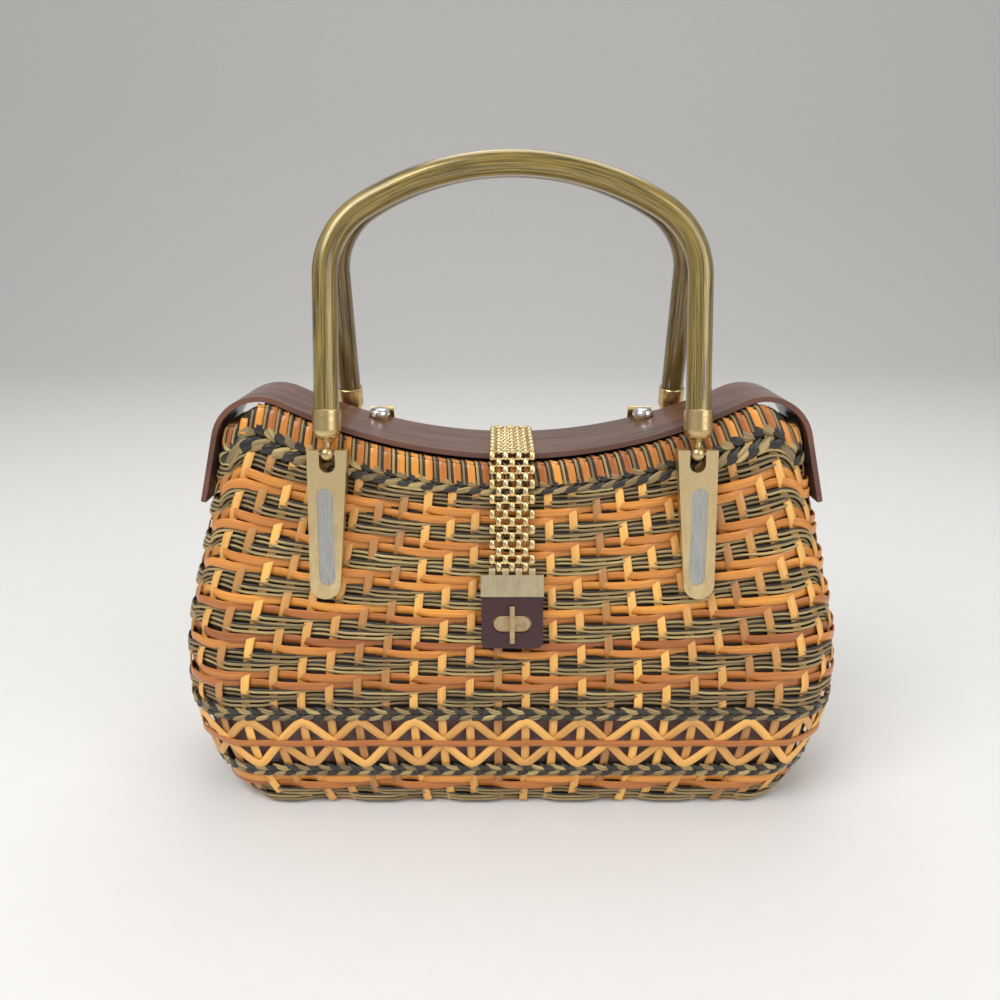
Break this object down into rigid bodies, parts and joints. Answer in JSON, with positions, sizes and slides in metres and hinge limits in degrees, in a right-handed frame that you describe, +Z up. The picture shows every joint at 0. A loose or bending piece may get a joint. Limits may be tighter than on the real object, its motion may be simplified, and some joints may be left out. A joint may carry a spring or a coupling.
{
  "type": "basket box bag",
  "caption": "Rigid woven cane handbag with a saddle-shaped lid strip, two swinging arched tube handles on metal plates, and a mesh strap held by a turn lock.",
  "frame": {"origin": "centre of the base's underside", "axes": "+X along the bag's width, +Z up, the lock is on the -Y side"},
  "size_m": [0.2868, 0.0962, 0.2718],
  "materials": {
    "cane": "woven flat cane and thin reed, varnished amber orange with dark gaps",
    "lining": "thin woven lining cloth",
    "lid_plastic": "dark reddish brown streaked plastic, satin from wear",
    "handle_plastic": "olive brown plastic tube with lengthwise black streaks",
    "plate_gold": "pale gold plating, darker at worn edges",
    "inlay_silver": "brushed grey inlay",
    "fixing_steel": "plain steel",
    "stud_chrome": "polished dome",
    "mesh_gold": "polished pale gold links",
    "clamp_gold": "worn champagne metal",
    "tab_plastic": "dark maroon, glossy and scratched",
    "lock_gold": "pinkish gold, darkened"
  },
  "bodies": {
    "basket": {"basket": "cane", "rim_binding": "cane", "lining": "lining", "handle_plate_front_left": "plate_gold", "handle_plate_front_right": "plate_gold", "handle_plate_rear_left": "plate_gold", "handle_plate_rear_right": "plate_gold", "plate_inlay_front_left": "inlay_silver", "plate_inlay_front_right": "inlay_silver", "plate_inlay_rear_left": "inlay_silver", "plate_inlay_rear_right": "inlay_silver", "backing_plate_front_left": "fixing_steel", "backing_plate_front_right": "fixing_steel", "backing_plate_rear_left": "fixing_steel", "backing_plate_rear_right": "fixing_steel", "handle_pin_front_left": "fixing_steel", "handle_pin_front_right": "fixing_steel", "handle_pin_rear_left": "fixing_steel", "handle_pin_rear_right": "fixing_steel", "lock_base": "lock_gold", "lock_backing": "fixing_steel", "hinge_bracket_left": "plate_gold", "hinge_bracket_right": "plate_gold", "hinge_pin_left": "fixing_steel", "hinge_pin_right": "fixing_steel"},
    "front_handle": {"handle_front": "handle_plastic", "ferrule_front_left": "plate_gold", "ferrule_front_right": "plate_gold"},
    "rear_handle": {"handle_rear": "handle_plastic", "ferrule_rear_left": "plate_gold", "ferrule_rear_right": "plate_gold"},
    "lid": {"lid": "lid_plastic", "lid_stud_left": "stud_chrome", "lid_stud_right": "stud_chrome", "hinge_lid_leaf_left": "plate_gold", "hinge_lid_leaf_right": "plate_gold", "strap_anchor": "plate_gold", "mesh_over_lid": "mesh_gold"},
    "mesh_1": {"mesh_drop_1": "mesh_gold"},
    "mesh_2": {"mesh_drop_2": "mesh_gold"},
    "mesh_3": {"mesh_drop_3": "mesh_gold"},
    "mesh_4": {"mesh_drop_4": "mesh_gold"},
    "tab": {"strap_clamp": "clamp_gold", "strap_tab": "tab_plastic"},
    "knob": {"turn_knob": "lock_gold"}
  },
  "joints": [
    {"name": "front_handle_swing", "type": "hinge", "parent": "basket", "child": "front_handle", "pos_m": [0, -0.031, 0.156], "axis": [1, 0, 0], "range_deg": [0, 130]},
    {"name": "rear_handle_swing", "type": "hinge", "parent": "basket", "child": "rear_handle", "pos_m": [0, 0.031, 0.156], "axis": [-1, 0, 0], "range_deg": [0, 130]},
    {"name": "lid_open", "type": "hinge", "parent": "basket", "child": "lid", "pos_m": [0, 0.0228, 0.16347], "axis": [-1, 0, 0], "range_deg": [0, 38]},
    {"name": "strap_lift", "type": "hinge", "parent": "lid", "child": "mesh_1", "pos_m": [0, -0.02414, 0.15506], "axis": [-1, 0, 0], "range_deg": [0, 25]},
    {"name": "strap_bend_2", "type": "hinge", "parent": "mesh_1", "child": "mesh_2", "pos_m": [0, -0.02914, 0.14446], "axis": [-1, 0, 0], "range_deg": [0, 25]},
    {"name": "strap_bend_3", "type": "hinge", "parent": "mesh_2", "child": "mesh_3", "pos_m": [0, -0.03194, 0.13238], "axis": [-1, 0, 0], "range_deg": [0, 25]},
    {"name": "strap_bend_4", "type": "hinge", "parent": "mesh_3", "child": "mesh_4", "pos_m": [0, -0.03473, 0.12029], "axis": [-1, 0, 0], "range_deg": [0, 25]},
    {"name": "tab_bend", "type": "hinge", "parent": "mesh_4", "child": "tab", "pos_m": [0, -0.03753, 0.10821], "axis": [-1, 0, 0], "range_deg": [0, 25]},
    {"name": "knob_turn", "type": "hinge", "parent": "basket", "child": "knob", "pos_m": [0, -0.04001, 0.0863], "axis": [0, -0.9735, 0.2288], "range_deg": [0, 90]}
  ],
  "couplings": [
    {"joint": "strap_bend_2", "follows": "strap_lift", "ratio": 1},
    {"joint": "strap_bend_3", "follows": "strap_lift", "ratio": 1},
    {"joint": "strap_bend_4", "follows": "strap_lift", "ratio": 1},
    {"joint": "tab_bend", "follows": "strap_lift", "ratio": 1}
  ]
}
